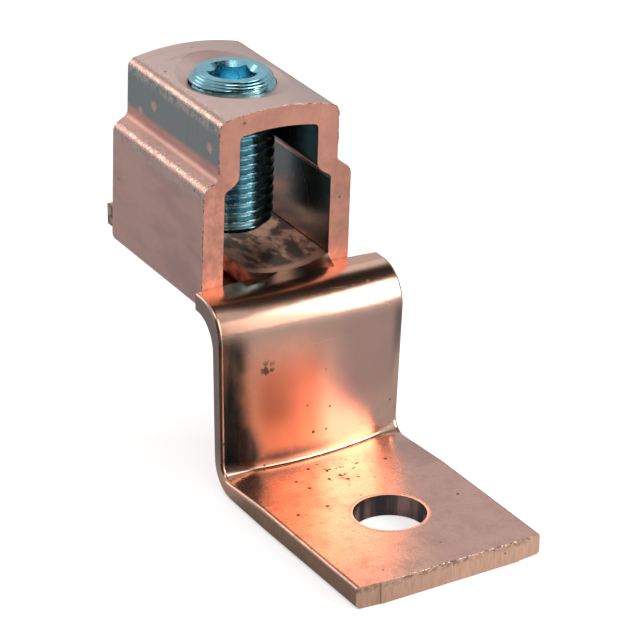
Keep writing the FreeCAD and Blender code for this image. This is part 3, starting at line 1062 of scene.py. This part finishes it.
def build_screw(look, material):
    """Threaded screw in its place, leaning with the collar, inside the box of the plain one."""
    low, high = Vector(SCREW_BOX[0]), Vector(SCREW_BOX[1])
    height = (high.z - low.z - math.sin(LEAN) * (look.rim + look.point) / 2) / math.cos(LEAN)
    values = {"Radius": look.diameter / 2, "Depth": look.thread_depth, "Pitch": look.pitch,
              "Height": height, "Runout": THREAD_RUNOUT, "Rim Radius": look.rim / 2,
              "Rim Height": look.rim_height, "Groove Pitch": GROOVE_PITCH, "Groove Depth": GROOVE_DEPTH,
              "Point Radius": look.point / 2, "Point Height": look.point_height,
              "Round Faces": ROUND_FACES, "Height Faces": HEIGHT_FACES}
    mesh = baked_from_nodes("set_screw_thread", thread_tree(material), values)
    shape = bmesh.new()
    shape.from_mesh(mesh)
    top, foot = screw_rings(look, height)
    add_rings(shape, top, turned_over=False)
    add_rings(shape, foot, turned_over=True)
    bmesh.ops.remove_doubles(shape, verts=shape.verts, dist=2 * WELD_REACH)
    bmesh.ops.recalc_face_normals(shape, faces=shape.faces)
    for face in shape.faces:
        face.smooth = True
    middle = (low + high) / 2
    middle.y -= (look.point_height - look.rim_height) / 2 * math.sin(LEAN)
    middle.z -= (look.rim - look.point) / 4 * math.sin(LEAN)
    foot_place = middle - SCREW_AXIS * height / 2
    shift = Matrix.Translation(foot_place) @ Matrix.Rotation(-LEAN, 4, "X")
    bmesh.ops.transform(shape, matrix=shift, verts=shape.verts)
    shape.to_mesh(mesh)
    shape.free()
    return mesh


class LUG_OT_set_screw(bpy.types.Operator):
    """Make the threaded set screw with its hexagon socket"""
    bl_idname = "lug.set_screw"
    bl_label = "Make set screw"

    def execute(self, context):
        look = context.scene.lug_screw
        material = zinc_plate(look)
        mesh = build_screw(look, material)
        cover(mesh, material)
        mesh.set_sharp_from_angle(angle=SHARP_ANGLE)
        screw = bpy.data.objects.new("threaded_screw", mesh)
        context.scene.collection.objects.link(screw)
        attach(screw, "screw")
        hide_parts("set_screw")
        return {"FINISHED"}


# Stage

def floor_material(look):
    """Pale floor; in reflections it is dark in front of the riser, like a black card laid there."""
    material, shader, place = new_material("Floor")
    x, y, _ = axes(place)
    light = add(material.node_tree, "ShaderNodeLightPath")
    card = times(rise(x, CARD_BACK), fall(x, CARD_FRONT), fall(y, CARD_RIGHT))
    mirrored = mix_colour(card, rgba(look.cool), rgba(look.card))
    colour = mix_colour(light.outputs["Is Glossy Ray"], rgba(look.floor), mirrored)
    feed(colour, shader["Base Color"])
    shader["Roughness"].default_value = 0.9
    shader["Specular IOR Level"].default_value = 0.0
    shader["Emission Color"].default_value = rgba(WHITE)
    feed(times(light.outputs["Is Camera Ray"], FLOOR_GLOW), shader["Emission Strength"])
    return material


def make_world(context):
    """White to the camera; to everything else a soft room, dark overhead and towards the front left."""
    world = bpy.data.worlds.new("Studio")
    context.scene.world = world
    world.use_nodes = True
    tree = world.node_tree
    tree.nodes.clear()
    toward = add(tree, "ShaderNodeTexCoord").outputs["Generated"]
    overhead = vector_node("DOT_PRODUCT", toward, OVERHEAD_WAY, output="Value")
    front_left = vector_node("DOT_PRODUCT", toward, FRONT_LEFT_WAY, output="Value")
    level = times(fall(overhead, limits=(0.83, 0.94)),
                  rise(front_left, limits=(0.55, 0.85), at_low=1.0, at_high=0.10), ROOM_LEVEL)
    light = add(tree, "ShaderNodeLightPath")
    tint = mix_colour(light.outputs["Is Glossy Ray"], rgba(WHITE), ROOM_COOL)
    room = add(tree, "ShaderNodeBackground", {"Color": tint, "Strength": level})
    white = add(tree, "ShaderNodeBackground", {"Color": rgba(WHITE), "Strength": 1.0})
    mix = add(tree, "ShaderNodeMixShader", {
        0: light.outputs["Is Camera Ray"], 1: room.outputs[0], 2: white.outputs[0]})
    add(tree, "ShaderNodeOutputWorld", {"Surface": mix.outputs[0]})


def add_floor(context, look):
    corners = [(across * FLOOR_REACH, along * FLOOR_REACH, -FLOOR_DROP)
               for across, along in ((-1, -1), (1, -1), (1, 1), (-1, 1))]
    mesh = bpy.data.meshes.new("floor")
    mesh.from_pydata(corners, [], [(0, 1, 2, 3)])
    mesh.materials.append(floor_material(look))
    floor = bpy.data.objects.new("floor", mesh)
    context.scene.collection.objects.link(floor)


def add_lamp(context, name, place, size, radiance, colour):
    """Softbox that faces the middle of the view and that the camera doesn't see."""
    data = bpy.data.lights.new(name, "AREA")
    data.shape = "RECTANGLE"
    data.size, data.size_y = size
    data.energy = radiance * math.pi * size[0] * size[1]
    data.color = colour
    lamp = bpy.data.objects.new(name, data)
    lamp.location = place
    lamp.rotation_euler = (VIEW_MIDDLE - Vector(place)).to_track_quat("-Z", "Y").to_euler()
    lamp.visible_camera = False
    context.scene.collection.objects.link(lamp)


def add_camera(context, look):
    back = Vector((math.sin(look.azimuth) * math.cos(look.elevation),
                   -math.cos(look.azimuth) * math.cos(look.elevation), math.sin(look.elevation)))
    data = bpy.data.cameras.new("Camera")
    data.lens = look.lens
    data.sensor_width = SENSOR_WIDTH
    data.clip_start, data.clip_end = CLIP_LIMITS
    camera = bpy.data.objects.new("Camera", data)
    camera.location = VIEW_MIDDLE + back * look.distance
    camera.rotation_euler = back.to_track_quat("Z", "Y").to_euler()
    context.scene.collection.objects.link(camera)
    context.scene.camera = camera


class LUG_OT_stage(bpy.types.Operator):
    """Set the floor, the lamps and the camera"""
    bl_idname = "lug.stage"
    bl_label = "Set stage"

    def execute(self, context):
        look = context.scene.lug_stage
        add_floor(context, look)
        make_world(context)
        for name, place, size, level, colour in LAMPS:
            add_lamp(context, name, place, size, getattr(look, level), colour)
        add_camera(context, look)
        context.scene.view_settings.view_transform = "Standard"
        return {"FINISHED"}


class LUG_PT_panel(bpy.types.Panel):
    """Sizes, colours and steps of the lug"""
    bl_idname = "LUG_PT_panel"
    bl_label = "Mechanical lug"
    bl_space_type = "VIEW_3D"
    bl_region_type = "UI"
    bl_category = "Lug"

    def draw(self, context):
        layout = self.layout
        for group in (context.scene.lug_copper, context.scene.lug_screw, context.scene.lug_stage):
            box = layout.box()
            for key in group.bl_rna.properties.keys():
                if key not in ("rna_type", "name"):
                    box.prop(group, key)
        for step in STEPS:
            layout.operator(step.bl_idname)


STEPS = (LUG_OT_strap, LUG_OT_collar, LUG_OT_burrs, LUG_OT_set_screw, LUG_OT_stage)
CLASSES = (CopperLook, ScrewLook, StageLook) + STEPS + (LUG_PT_panel,)


def register():
    for item in CLASSES:
        bpy.utils.register_class(item)
    bpy.types.Scene.lug_copper = PointerProperty(type=CopperLook)
    bpy.types.Scene.lug_screw = PointerProperty(type=ScrewLook)
    bpy.types.Scene.lug_stage = PointerProperty(type=StageLook)


def unregister():
    for name in ("lug_copper", "lug_screw", "lug_stage"):
        delattr(bpy.types.Scene, name)
    for item in reversed(CLASSES):
        bpy.utils.unregister_class(item)


def main():
    register()
    bpy.ops.lug.strap()
    bpy.ops.lug.collar()
    bpy.ops.lug.burrs()
    bpy.ops.lug.set_screw()
    bpy.ops.lug.stage()


if __name__ == "__main__":
    main()
